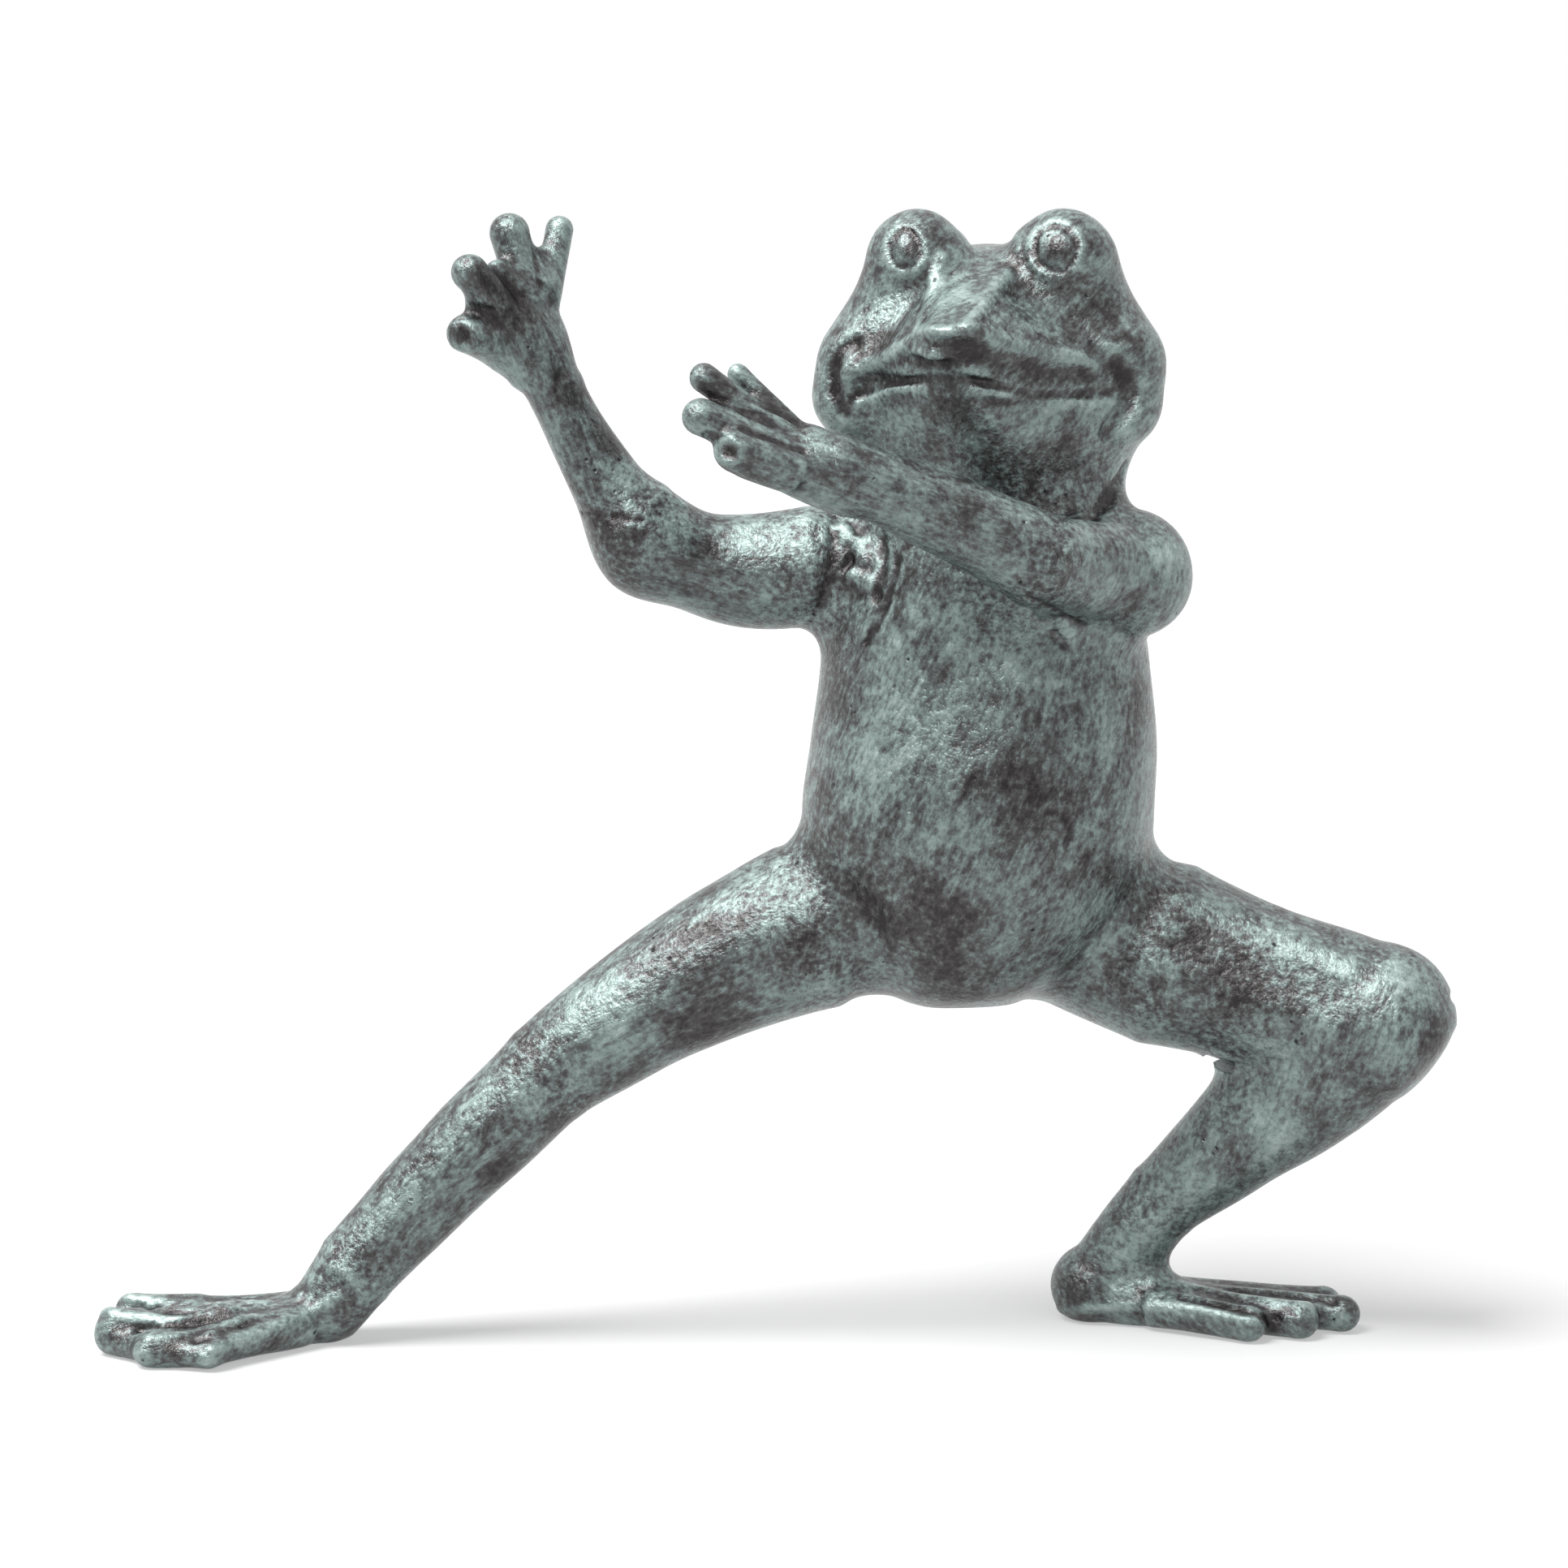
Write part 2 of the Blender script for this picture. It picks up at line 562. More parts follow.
def smooth_line(points):
    """Points along a smooth curve through a few points."""
    points = np.asarray(points, float)
    ends = np.concatenate([2 * points[:1] - points[1:2], points, 2 * points[-1:] - points[-2:-1]])
    share = np.linspace(0, 1, CURVE_POINTS, endpoint=False)[:, None]
    line = []
    for a, b, c, d in zip(ends[:-3], ends[1:-2], ends[2:-1], ends[3:]):
        line.append(0.5 * (
            2 * b + (c - a) * share + (2 * a - 5 * b + 4 * c - d) * share ** 2
            + (3 * b - a - 3 * c + d) * share ** 3
        ))
    line.append(points[-1:])
    return np.concatenate(line)


def height_over(axes, point, direction):
    """How far grid points lie from a point, along a direction."""
    return sum((axis - p) * d for axis, p, d in zip(axes, point, direction))


def square_gap(axes, point):
    """Square of the distance from grid points to a point."""
    return sum((axis - p) ** 2 for axis, p in zip(axes, point))


def line_gap(axes, line, radii):
    """Least distance from grid points to a line of balls and cones, negative inside."""
    nearest = None
    for a, b, first, last in zip(line[:-1], line[1:], radii[:-1], radii[1:]):
        run = b - a
        along = np.clip(height_over(axes, a, run) / max(float(run @ run), TINY), 0, 1)
        gap = np.sqrt(sum((axis - p - along * r) ** 2 for axis, p, r in zip(axes, a, run)))
        gap = gap - (first + (last - first) * along)
        nearest = gap if nearest is None else np.minimum(nearest, gap)
    return nearest


def blend_height(here, shape, blend):
    """How far a soft blend departs from the two shapes that it joins, in grid steps."""
    soft = blend / VOXEL
    share = np.clip(soft - np.abs(here - shape), 0, None) / soft
    return share ** 2 * soft / 4


def doubled(line):
    """The line itself, or one point twice where it has only one."""
    line = np.asarray(line, float)
    return np.concatenate([line, line]) if len(line) == 1 else line


def stroke(field, line, radius, height):
    """Raises the skin by a height, or cuts it where that is negative, along a line with soft sides."""
    line = doubled(line)
    cut, axes = field.window(line.min(0) - radius, line.max(0) + radius)
    share = np.clip(line_gap(axes, line, np.zeros(len(line))) / radius, 0, 1)
    field.values[cut] -= (height / VOXEL * (1 - share ** 2) ** 2).astype(np.float32)


def photo_stroke(field, pixels, radius, height):
    """A stroke along pixels of the photograph, on the skin behind them."""
    stroke(field, on_skin(field, smooth_line(pixels)), radius, height)


def add_clay(field, line, radii, blend):
    """Adds a line of balls and cones, blended into the skin."""
    radii = np.asarray(doubled(np.reshape(radii, (-1, 1))))[:, 0]
    line = doubled(line)
    reach = radii.max() + blend
    cut, axes = field.window(line.min(0) - reach, line.max(0) + reach)
    here = field.values[cut]
    shape = line_gap(axes, line, radii) / VOXEL
    field.values[cut] = (np.minimum(here, shape) - blend_height(here, shape, blend)).astype(np.float32)


def cut_plane(field, box, point, normal, blend):
    """Cuts away what lies outside a plane, within a box."""
    normal = np.asarray(normal) / np.linalg.norm(normal)
    cut, axes = field.window(*box)
    here = field.values[cut]
    height = height_over(axes, point, normal) / VOXEL
    field.values[cut] = (np.maximum(here, height) + blend_height(here, height, blend)).astype(np.float32)


def trim(field, box, pixels, side, blend):
    """Cuts away what lies beyond a straight edge of the photograph, on one side."""
    first, second = rays_through(pixels)
    normal = np.cross(first, second)
    if normal @ side < 0:
        normal = -normal
    cut_plane(field, box, CAMERA_PLACE, normal, blend)


def brush(field, centre, radius):
    """Slices of the grid round a point, with a soft weight that falls to zero at the radius."""
    centre = np.asarray(centre, float)
    cut, axes = field.window(centre - radius, centre + radius)
    weight = np.clip(2 - 2 * np.sqrt(square_gap(axes, centre)) / radius, 0, 1)
    return cut, (weight * weight * (3 - 2 * weight)).astype(np.float32)


def fill_creases(field, centre, radius, reach):
    """Fills the creases round a point."""
    cut, weight = brush(field, centre, radius)
    here = field.values[cut]
    field.values[cut] = here + weight * (np.minimum(here, blurred(here, reach)) - here)


def soften(field, centre, radius, reach):
    """Smooths ridges and creases alike round a point."""
    cut, weight = brush(field, centre, radius)
    here = field.values[cut]
    field.values[cut] = here + weight * (blurred(here, reach) - here)


def open_slot(field, ring, along, beyond):
    """Keeps a limb clear of what lies close beside it, at a seam."""
    centre, normal, radius = ring
    reach = radius + beyond[1] + max(np.abs(along))
    cut, axes = field.window(centre - reach, centre + reach)
    offset = height_over(axes, centre, normal)
    apart = np.sqrt(np.maximum(square_gap(axes, centre) - offset ** 2, 0)) - radius
    in_length = np.minimum(offset - along[0], along[1] - offset)
    in_width = np.minimum(apart - beyond[0], beyond[1] - apart)
    inside = np.minimum(in_length, in_width)
    field.values[cut] = np.maximum(field.values[cut], (inside / VOXEL).astype(np.float32))


def add_waves(field):
    """Makes the skin slightly uneven, as modelled by hand."""
    shape = np.array(field.values.shape) // WAVE_STEPS + 2
    waves = np.random.default_rng(WAVE_SEED).uniform(-1, 1, shape).astype(np.float32)
    for axis in range(3):
        waves = np.repeat(waves, WAVE_STEPS, axis=axis)
    waves = waves[tuple(slice(0, size) for size in field.values.shape)]
    field.values += WAVE_HEIGHT * blurred(waves, WAVE_STEPS // 2)


def keep_inside(field):
    """Trims the skin to just inside the box of the castings."""
    for axis in range(3):
        place = (np.arange(field.values.shape[axis]) + field.low[axis]) * VOXEL
        low, high = (corner[axis] / METRES for corner in CAD_BOX)
        beyond = np.maximum(low + BOX_INSET - place, place - high + BOX_INSET) / VOXEL
        shape = [1, 1, 1]
        shape[axis] = -1
        np.maximum(field.values, beyond.reshape(shape).astype(np.float32), out=field.values)


def oval(centre, half):
    """Pixels round an ellipse."""
    turn = np.linspace(0, 2 * np.pi, OVAL_POINTS)
    return np.stack([centre[0] + half[0] * np.cos(turn), centre[1] + half[1] * np.sin(turn)], axis=1)


def sculpt_eyes(field):
    """A raised rim round a domed pupil on each eye."""
    for centre, rim, groove, pupil in EYES:
        rim_line = on_skin(field, oval(centre, rim))
        groove_line = on_skin(field, oval(centre, groove))
        middle = on_skin(field, [centre])
        stroke(field, rim_line, *EYE_RIM)
        stroke(field, groove_line, *EYE_GROOVE)
        stroke(field, middle, pupil, PUPIL_HEIGHT)


def sculpt_thumb_end(field):
    """Saws the left thumb off flat, with a hollow and a raised rim."""
    point = on_skin(field, [THUMB_END])[0]
    below, above = THUMB_END_REACH
    cut_plane(field, (point - below, point + above), point, THUMB_END_NORMAL, THUMB_END_BLEND)
    rim = on_skin(field, oval(THUMB_END, THUMB_RIM_HALF))
    stroke(field, rim, *THUMB_RIM)
    stroke(field, on_skin(field, [THUMB_END]), *THUMB_HOLLOW)


def sculpt(field, rings):
    """Dresses the seams, models the head and works in the details."""
    for box, point, normal, blend in HEAD_PLANES:
        cut_plane(field, box, point, normal, blend)
    for line, radii, blend in HEAD_CLAY:
        add_clay(field, line, radii, blend)
    for box, pixels, side, blend in TRIMS:
        trim(field, box, pixels, side, blend)
    for line, radii, blend in LIMB_CLAY:
        add_clay(field, at_depth(line), radii, blend)
    for line, radii, blend in TOE_CLAY:
        add_clay(field, at_height(line), radii, blend)
    for centre, _, radius in rings.values():
        soften(field, centre, SEAM_SOFT_SHARE * radius, SEAM_SOFT_REACH)
    for centre, radius, reach in FILLETS:
        fill_creases(field, centre, radius, reach)
    add_waves(field)
    field.values = blurred(field.values, reach=1, passes=1)
    for name, along, beyond in SLOTS:
        open_slot(field, rings[name], along, beyond)
    for pixels, radius, height in HEAD_STROKES + BODY_STROKES:
        photo_stroke(field, pixels, radius, height)
    sculpt_thumb_end(field)
    sculpt_eyes(field)
    keep_inside(field)


# Seams and the skin between them


def ring_of(name):
    """Centre, unit normal and radius of a weld ring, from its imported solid."""
    points, _ = node_triangles(name)
    centre = (points.min(0) + points.max(0)) / 2
    for _ in range(RING_PASSES):
        spread = points - centre
        _, axes = np.linalg.eigh(spread.T @ spread)
        normal = axes[:, 0]
        flat = spread - np.outer(spread @ normal, normal)
        reach = np.linalg.norm(flat, axis=1)
        unit = flat / reach[:, None]
        radius = reach.mean()
        centre = centre + 2 * ((reach - radius)[:, None] * unit).mean(0)
    return centre.astype(float), normal.astype(float), float(radius)


def seam_rings():
    """The ring of every seam, by the name of its weld."""
    rings = {name: ring_of(name) for name in WELDS}
    centre, _, radius = rings["neck_weld"]
    normal = NECK_SEAM_NORMAL / np.linalg.norm(NECK_SEAM_NORMAL)
    rings["neck_weld"] = (centre + NECK_SEAM_RAISE, normal, radius)
    return rings


def seam_places(points, ring):
    """How far points lie off a seam's plane, and from its axis."""
    centre, normal, _ = ring
    spread = points - centre
    offset = spread @ normal
    return offset, np.linalg.norm(spread - np.outer(offset, normal), axis=1)


def joined(count, first, second):
    """Group number of each of count things, where first and second are tied pairs."""
    label = np.arange(count)
    while True:
        a = label[first]
        b = label[second]
        low = np.minimum(a, b)
        new = label.copy()
        np.minimum.at(new, a, low)
        np.minimum.at(new, b, low)
        new = new[new]
        new = new[new]
        if np.array_equal(new, label):
            return label
        label = new


def skin_mesh(field):
    """Quads of the sculpted skin, relaxed and drawn back onto it."""
    grid = vdb.FloatGrid(BAND)
    grid.copyFromArray(np.clip(field.values, -BAND, BAND), ijk=tuple(int(v) for v in field.low))
    points, quads = grid.convertToQuads(0.0)
    points = points.astype(float) * VOXEL
    label = joined(len(points), quads[:, [0, 1, 2]].ravel(), quads[:, [1, 2, 3]].ravel())
    groups, sizes = np.unique(label, return_counts=True)
    keep = label == groups[sizes.argmax()]
    new_index = np.cumsum(keep) - 1
    quads = new_index[quads[keep[quads[:, 0]]]]
    points = points[keep]
    for _ in range(RELAX_PASSES):
        total = np.zeros_like(points)
        ties = np.zeros(len(points))
        for a, b in ((0, 1), (1, 0), (1, 2), (2, 1), (2, 3), (3, 2), (3, 0), (0, 3)):
            np.add.at(total, quads[:, a], points[quads[:, b]])
            np.add.at(ties, quads[:, a], 1)
        points = 0.5 * points + 0.5 * total / ties[:, None]
        for _ in range(DRAW_PASSES):
            points = points - field.slope(points) * (field.sample(points) * VOXEL)[:, None]
    corners = [points[quads[:, k]] for k in range(3)]
    if np.einsum("ij,ij->i", corners[0], np.cross(corners[1], corners[2])).sum() < 0:
        quads = quads[:, ::-1]
    return points, quads


def faces_round(points, quads, ring, margin):
    """Indices of the skin's quads in the band round one seam."""
    offset, reach = seam_places(points, ring)
    radius = ring[2]
    near = (np.abs(offset) < SEAM_REACH) & (reach > SEAM_INNER_SHARE * radius) & (reach < radius + margin)
    found = np.flatnonzero(near[quads].all(axis=1))
    local, corners = np.unique(quads[found], return_inverse=True)
    corners = corners.reshape(-1, 4)
    label = joined(len(local), corners[:, :3].ravel(), corners[:, 1:].ravel())[corners[:, 0]]
    groups, sizes = np.unique(label, return_counts=True)
    return found[label == groups[sizes.argmax()]]


def cut_at_seams(points, quads, rings):
    """The skin as a mesh, parted on both sides of every seam."""
    mesh = bpy.data.meshes.new("skin")
    mesh.from_pydata(points.tolist(), [], quads.tolist())
    skin = bmesh.new()
    skin.from_mesh(mesh)
    skin.faces.ensure_lookup_table()
    bands = []
    for name, ring in rings.items():
        found = faces_round(points, quads, ring, SEAM_MARGINS.get(name, SEAM_MARGIN))
        bands.append([skin.faces[i] for i in found])
    parted = []
    for band, (centre, normal, _) in zip(bands, rings.values()):
        for offset in (WELD_HALF_WIDTH, -WELD_HALF_WIDTH):
            edges = {edge for face in band for edge in face.edges}
            corners = {corner for face in band for corner in face.verts}
            result = bmesh.ops.bisect_plane(
                skin,
                geom=list(corners) + list(edges) + band,
                dist=CUT_TOLERANCE,
                plane_co=Vector(centre + offset * normal),
                plane_no=Vector(normal),
            )
            parted += [item for item in result["geom_cut"] if isinstance(item, bmesh.types.BMEdge)]
            band = [item for item in result["geom"] if isinstance(item, bmesh.types.BMFace)]
    bmesh.ops.split_edges(skin, edges=[edge for edge in set(parted) if edge.is_valid])
    skin.to_mesh(mesh)
    skin.free()
    return mesh


def islands(mesh):
    """Points of a mesh, the corners of its faces, and the group of joined faces that each belongs to."""
    ties = read(mesh.edges, "vertices", 2, np.int32)
    label = joined(len(mesh.vertices), ties[:, 0], ties[:, 1])
    faces = [tuple(face.vertices) for face in mesh.polygons]
    return read(mesh.vertices, "co", 3, float), faces, label


def name_islands(points, label, rings):
    """The node that each group of skin stands for."""
    tree_points = []
    tree_names = []
    for name in CASTINGS:
        node_points, _ = node_triangles(name)
        for point in node_points[::NAMING_STRIDE]:
            tree_points.append(point)
            tree_names.append(name)
    tree = KDTree(len(tree_points))
    for index, point in enumerate(tree_points):
        tree.insert(Vector(point), index)
    tree.balance()
    names = {}
    for group in np.unique(label):
        here = points[label == group]
        for name, (centre, normal, radius) in rings.items():
            if np.abs((here - centre) @ normal).max() < WELD_SLACK * WELD_HALF_WIDTH:
                if np.linalg.norm(here.mean(0) - centre) < radius:
                    names[group] = name
        if group not in names:
            asked = here[:: max(1, len(here) // NAMING_VOTES)]
            votes = [tree_names[tree.find(Vector(point))[1]] for point in asked]
            names[group] = max(set(votes), key=votes.count)
    return names


def loops_of(piece):
    """The open edge loops of a mesh, each as a list of corners in order."""
    open_edges = {edge for edge in piece.edges if edge.is_boundary}
    loops = []
    while open_edges:
        edge = open_edges.pop()
        loop = [edge.verts[0], edge.verts[1]]
        while True:
            following = [e for e in loop[-1].link_edges if e in open_edges]
            if not following:
                break
            open_edges.remove(following[0])
            loop.append(following[0].other_vert(loop[-1]))
        if loop[0] == loop[-1]:
            loop.pop()
        loops.append(loop)
    return loops


def cap_casting(piece):
    """Closes a casting's ends with flat faces."""
    return [piece.faces.new(loop) for loop in loops_of(piece)]


def close_weld(piece, ring):
    """Closes a weld strip into a ring of even depth."""
    centre = Vector(ring[0])
    walls = []
    inner_edges = []
    for loop in loops_of(piece):
        inner = []
        for corner in loop:
            inward = (centre - corner.co).normalized()
            inner.append(piece.verts.new(corner.co + inward * WELD_RING_DEPTH))
        for k in range(len(loop)):
            n = (k + 1) % len(loop)
            walls.append(piece.faces.new((loop[k], loop[n], inner[n], inner[k])))
            inner_edges.append(piece.edges.get((inner[k], inner[n])))
    walls += bmesh.ops.bridge_loops(piece, edges=inner_edges)["faces"]
    return walls


def make_piece(name, points, faces, rings):
    """One closed piece of skin, as a mesh whose added walls are flat and whose skin keeps its own slope."""
    used, corners = np.unique(np.concatenate([np.array(f) for f in faces]), return_inverse=True)
    sizes = np.cumsum([0] + [len(f) for f in faces])
    piece = bmesh.new()
    made = [piece.verts.new(point) for point in points[used].tolist()]
    for first, last in zip(sizes[:-1], sizes[1:]):
        piece.faces.new([made[k] for k in corners[first:last]])
    added = close_weld(piece, rings[name]) if name in rings else cap_casting(piece)
    for face in piece.faces:
        face.smooth = True
    for face in added:
        face.smooth = False
    bmesh.ops.recalc_face_normals(piece, faces=added)
    mesh = bpy.data.meshes.new(name + "_skin")
    piece.to_mesh(mesh)
    piece.free()
    return mesh


def corner_normals(mesh, slopes):
    """Normals of a mesh's face corners: the field's own slope on the skin, flat on the added walls."""
    sizes = read(mesh.polygons, "loop_total", 1, np.int32)
    smooth = read(mesh.polygons, "use_smooth", 1, bool)
    flat = read(mesh.polygons, "normal", 3, float)
    normals = slopes[read(mesh.loops, "vertex_index", 1, np.int32)]
    walls = np.repeat(~smooth, sizes)
    normals[walls] = np.repeat(flat, sizes, axis=0)[walls]
    return normals


# Surface attributes that the patina reads


def grain_axes(rings):
    """Direction that the brush marks run in on each casting."""
    ring = {name: centre for name, (centre, _, _) in rings.items()}
    return {
        "torso": TORSO_GRAIN,
        "head": HEAD_GRAIN,
        "right_upper_arm": ring["right_shoulder_weld"] - ring["right_elbow_weld"],
        "right_forearm": RIGHT_HAND - ring["right_elbow_weld"],
        "left_arm": LEFT_HAND - ring["left_arm_weld"],
        "right_thigh": ring["right_hip_weld"] - ring["right_knee_weld"],
        "right_shin": ring["right_knee_weld"] - ring["right_ankle_weld"],
        "right_foot": RIGHT_TOES - ring["right_ankle_weld"],
        "left_thigh": ring["left_hip_weld"] - ring["left_knee_weld"],
        "left_shin": ring["left_knee_weld"] - ring["left_ankle_weld"],
        "left_foot": LEFT_TOES - ring["left_ankle_weld"],
    }


def grain_coordinates(points, axis):
    """Coordinates with their first axis along the brush marks."""
    along = axis / np.linalg.norm(axis)
    side = np.cross(along, GRAIN_ACROSS)
    side = side / np.linalg.norm(side)
    return points @ np.stack([along, side, np.cross(along, side)], axis=1)


def dab_weights(points, dabs):
    """How much paler or darker the dabs make each point."""
    total = np.zeros(len(points))
    for place, radius, amount in dabs:
        share = np.clip(np.linalg.norm(points - place, axis=1) / radius, 0, 1)
        total += amount * (1 - share ** 2) ** 2
    return total


def brushed_share(points, rings):
    """One where brush marks run along a casting, falling to zero at its seams."""
    share = np.ones(len(points))
    for ring in rings.values():
        offset, reach = seam_places(points, ring)
        apart = np.hypot(offset, np.clip(reach - ring[2] - BRUSH_FADE / 2, 0, None))
        share = np.minimum(share, np.clip(apart / BRUSH_FADE - BRUSH_BARE, 0, 1))
    return share


def set_attribute(mesh, name, values):
    """A number, or a vector, on every point of a mesh."""
    kind, key = ("FLOAT", "value") if values.ndim == 1 else ("FLOAT_VECTOR", "vector")
    attribute = mesh.attributes.new(name, kind, "POINT")
    attribute.data.foreach_set(key, np.ascontiguousarray(values, np.float32).ravel())


# Materials


class Nodes:
    """Short ways to add and join nodes of one material, or of the world."""

    def __init__(self, material):
        material.use_nodes = True
        self.tree = material.node_tree
        self.tree.nodes.clear()

    def add(self, kind, **settings):
        node = self.tree.nodes.new(kind)
        for key, value in settings.items():
            setattr(node, key, value)
        return node

    def attribute(self, name, output):
        return self.add("ShaderNodeAttribute", attribute_name=name).outputs[output]

    def join(self, source, target):
        self.tree.links.new(source, target)

    def feed(self, socket, value):
        """Sets a socket to a number, or joins it to another node's output."""
        if isinstance(value, (int, float)):
            socket.default_value = value
        else:
            self.join(value, socket)

    def math(self, operation, first, second=0.0, third=0.0):
        node = self.add("ShaderNodeMath", operation=operation)
        for socket, value in zip(node.inputs, (first, second, third)):
            self.feed(socket, value)
        return node.outputs[0]

    def noise(self, vector, scale, detail, roughness, distortion=0.0):
        node = self.add("ShaderNodeTexNoise")
        self.join(vector, node.inputs["Vector"])
        settings = {"Scale": scale, "Detail": detail, "Roughness": roughness, "Distortion": distortion}
        for key, value in settings.items():
            node.inputs[key].default_value = value
        return node.outputs["Fac"]

    def stretched(self, vector, scale):
        node = self.add("ShaderNodeMapping")
        self.join(vector, node.inputs["Vector"])
        node.inputs["Scale"].default_value = scale
        return node.outputs["Vector"]

    def between(self, share, first, second):
        node = self.add("ShaderNodeMix", data_type="FLOAT")
        for socket, value in zip(node.inputs[:1] + node.inputs[2:4], (share, first, second)):
            self.feed(socket, value)
        return node.outputs[0]

    def ramp(self, value, stops):
        node = self.add("ShaderNodeValToRGB")
        self.join(value, node.inputs["Fac"])
        points = node.color_ramp.elements
        while len(points) < len(stops):
            points.new(0.5)
        for point, (place, colour) in zip(points, stops):
            point.position = place
            point.color = (*colour, 1)
        return node.outputs["Color"]

    def spread(self, value, low, high, to_low=0.0, to_high=1.0):
        node = self.add("ShaderNodeMapRange", interpolation_type="SMOOTHSTEP")
        for socket, number in zip(node.inputs, (value, low, high, to_low, to_high)):
            self.feed(socket, number)
        return node.outputs["Result"]

    def finish(self, kind, source):
        self.join(source, self.add(kind).inputs["Surface"])

    def total(self, start, parts, shares):
        """A start with a share of each part added to it."""
        for part, share in zip(parts, shares):
            start = self.math("MULTIPLY_ADD", part, share, start)
        return start

    def seen_directly(self):
        """One for what the eye sees, also in metal and through glass, and zero for light that bounces."""
        path = self.add("ShaderNodeLightPath")
        seen = self.math("ADD", path.outputs["Is Camera Ray"], path.outputs["Is Transmission Ray"])
        return self.math("MINIMUM", self.math("ADD", seen, path.outputs["Is Glossy Ray"]), 1.0)


def patina():
    """Dark cast metal under a thin brushed verdigris, paler on the ridges and darker in the hollows."""
    material = bpy.data.materials.new("patina")
    n = Nodes(material)
    place = n.add("ShaderNodeTexCoord").outputs["Object"]
    grain = n.attribute("grain", "Vector")
    ridge = n.attribute("ridge", "Fac")
    dab = n.attribute("dab", "Fac")
    brushed = n.attribute("brushed", "Fac")

    cloud = n.noise(place, *CLOUD)
    speckle = n.noise(place, *SPECKLE)
    drawn_mottle = n.noise(n.stretched(grain, MOTTLE_SCALES), 1, *MOTTLE)
    mottle = n.between(brushed, n.noise(place, *PATCH), drawn_mottle)
    drawn_streak = n.noise(n.stretched(grain, STREAK_SCALES), 1, *STREAK)
    streak = n.between(brushed, speckle, drawn_streak)
    tone = n.total(TONE_START, (cloud, mottle, streak, speckle, ridge, dab), TONE_SHARES)

    cells = n.add("ShaderNodeTexVoronoi", feature="F1")
    n.join(place, cells.inputs["Vector"])
    cells.inputs["Scale"].default_value = PIT_SCALE
    ragged = n.math("MULTIPLY_ADD", speckle, PIT_RAGGED, cells.outputs["Distance"])
    pit = n.spread(ragged, *PIT_EDGE, 1.0, 0.0)
    pit = n.math("MULTIPLY", pit, n.spread(n.noise(place, *PIT_PATCH), *PIT_PATCH_EDGE))

    darkened = n.add("ShaderNodeMix", data_type="RGBA", blend_type="MIX")
    n.join(pit, darkened.inputs["Factor"])
    n.join(n.ramp(tone, VERDIGRIS), darkened.inputs[6])
    darkened.inputs[7].default_value = PIT_COLOUR

    bump = n.add("ShaderNodeBump")
    bump.inputs["Strength"].default_value = RELIEF_STRENGTH
    bump.inputs["Distance"].default_value = RELIEF_DEPTH
    n.join(n.total(0.0, (speckle, streak, mottle, pit), RELIEF_SHARES), bump.inputs["Height"])

    shader = n.add("ShaderNodeBsdfPrincipled")
    n.join(darkened.outputs[2], shader.inputs["Base Color"])
    n.join(n.spread(tone, *METAL), shader.inputs["Metallic"])
    n.join(n.spread(tone, *ROUGHNESS), shader.inputs["Roughness"])
    n.join(bump.outputs["Normal"], shader.inputs["Normal"])
    n.finish("ShaderNodeOutputMaterial", shader.outputs["BSDF"])
    return material


def floor_material():
    """White to the eye with a soft shadow, and darker to the light that bounces off it."""
    material = bpy.data.materials.new("floor")
    n = Nodes(material)
    lit = n.add("ShaderNodeBsdfDiffuse")
    lit.inputs["Color"].default_value = FLOOR_COLOUR
    glow = n.add("ShaderNodeEmission")
    glow.inputs["Strength"].default_value = FLOOR_GLOW
    seen = n.add("ShaderNodeAddShader")
    n.join(lit.outputs["BSDF"], seen.inputs[0])
    n.join(glow.outputs["Emission"], seen.inputs[1])
    bounced = n.add("ShaderNodeBsdfDiffuse")
    bounced.inputs["Color"].default_value = FLOOR_BOUNCE
    choose = n.add("ShaderNodeMixShader")
    n.join(n.seen_directly(), choose.inputs["Fac"])
    n.join(bounced.outputs["BSDF"], choose.inputs[1])
    n.join(seen.outputs["Shader"], choose.inputs[2])
    n.finish("ShaderNodeOutputMaterial", choose.outputs["Shader"])
    return material


# The figure


def new_object(name, data):
    """A new object in the scene."""
    made = bpy.data.objects.new(name, data)
    bpy.context.scene.collection.objects.link(made)
    return made


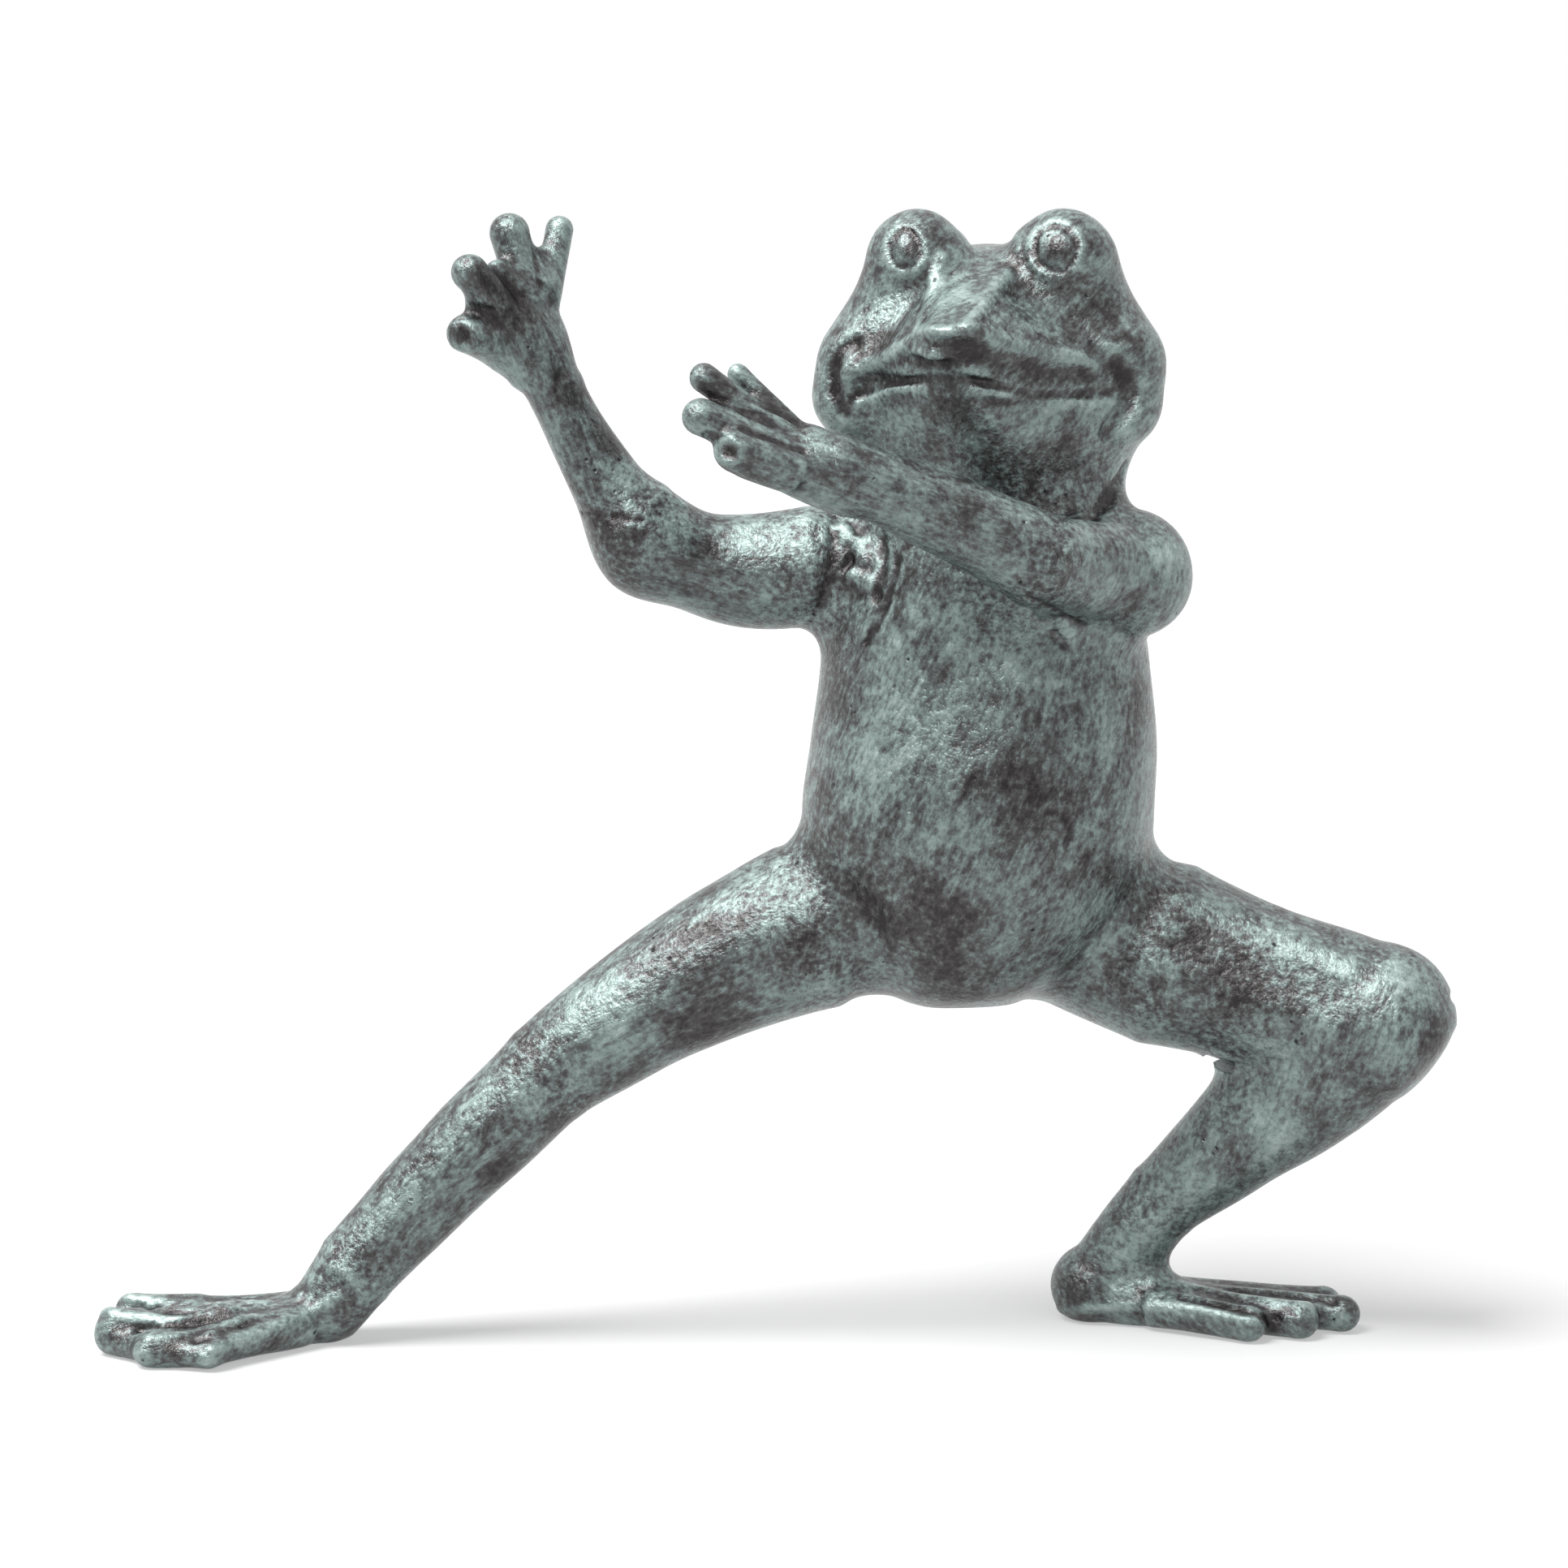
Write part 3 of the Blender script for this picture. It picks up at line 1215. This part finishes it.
def dress():
    """Sculpts the skin, cuts it into pieces and gives each its material."""
    rings = seam_rings()
    field = Field()
    sculpt(field, rings)
    points, quads = skin_mesh(field)
    points, faces, label = islands(cut_at_seams(points, quads, rings))
    names = name_islands(points, label, rings)
    assert sorted(names.values()) == sorted(CASTINGS + WELDS), "a seam does not part the skin"
    ridge = blurred(field.values, RIDGE_FINE) - blurred(field.values, RIDGE_WIDE) * RIDGE_SHARE
    axes = grain_axes(rings)
    dabs = [(on_skin(field, [pixel])[0], radius, amount) for pixel, radius, amount in DABS]
    by_group = {}
    for face in faces:
        by_group.setdefault(label[face[0]], []).append(face)
    finish = patina()
    for group, group_faces in by_group.items():
        name = names[group]
        mesh = make_piece(name, points, group_faces, rings)
        place = read(mesh.vertices, "co", 3, float)
        set_attribute(mesh, "ridge", np.clip(field.sample(place, ridge), -RIDGE_LIMIT, RIDGE_LIMIT))
        set_attribute(mesh, "dab", dab_weights(place, dabs))
        set_attribute(mesh, "brushed", brushed_share(place, rings))
        set_attribute(mesh, "grain", grain_coordinates(place, axes.get(name, axes["torso"])) * METRES)
        normals = corner_normals(mesh, field.slope(place))
        mesh.vertices.foreach_set("co", (place * METRES).ravel())
        mesh.normals_split_custom_set(normals.tolist())
        mesh.materials.append(finish)
        piece = new_object(name + "_skin", mesh)
        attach(piece, "root")
        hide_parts(name)


# Stage


def camera():
    """The camera of the photograph."""
    data = bpy.data.cameras.new("camera")
    data.lens = LENS
    data.sensor_width = SENSOR
    data.clip_start, data.clip_end = CAMERA_CLIP
    eye = new_object("camera", data)
    eye.location = CAMERA_PLACE * METRES
    eye.rotation_euler = Vector(CAMERA_TARGET - CAMERA_PLACE).to_track_quat("-Z", "Y").to_euler()
    bpy.context.scene.camera = eye


def sun(name, direction, strength, width, gloss_only):
    """A soft, even light from far away, shining along a direction."""
    data = bpy.data.lights.new(name, "SUN")
    data.energy = strength
    data.angle = np.radians(width)
    light = new_object(name, data)
    light.rotation_euler = Vector(direction).to_track_quat("-Z", "Y").to_euler()
    light.visible_diffuse = not gloss_only


def floor():
    """The plain floor under the figure."""
    mesh = bpy.data.meshes.new("floor")
    corners = [(x * FLOOR_HALF, y * FLOOR_HALF, 0) for x, y in ((-1, -1), (1, -1), (1, 1), (-1, 1))]
    mesh.from_pydata(corners, [], [(0, 1, 2, 3)])
    mesh.materials.append(floor_material())
    ground = new_object("floor", mesh)


def surroundings():
    """A room with a white back and ceiling and a dimmer front: white to the eye, and softer as light."""
    world = bpy.data.worlds.new("studio")
    bpy.context.scene.world = world
    n = Nodes(world)
    way = n.add("ShaderNodeSeparateXYZ")
    n.join(n.add("ShaderNodeTexCoord").outputs["Generated"], way.inputs["Vector"])
    back_or_up = n.math("ADD", way.outputs["Y"], way.outputs["Z"])
    room = n.spread(back_or_up, *ROOM_REFLECTED)
    eye = n.add("ShaderNodeLightPath").outputs["Is Camera Ray"]
    strength = n.between(eye, n.between(n.seen_directly(), ROOM_LIGHT, room), 1.0)
    background = n.add("ShaderNodeBackground")
    background.inputs["Color"].default_value = WHITE
    n.join(strength, background.inputs["Strength"])
    n.finish("ShaderNodeOutputWorld", background.outputs["Background"])


dress()
camera()
floor()
surroundings()
for lamp in LAMPS:
    sun(*lamp)
bpy.context.scene.view_settings.view_transform = "Standard"
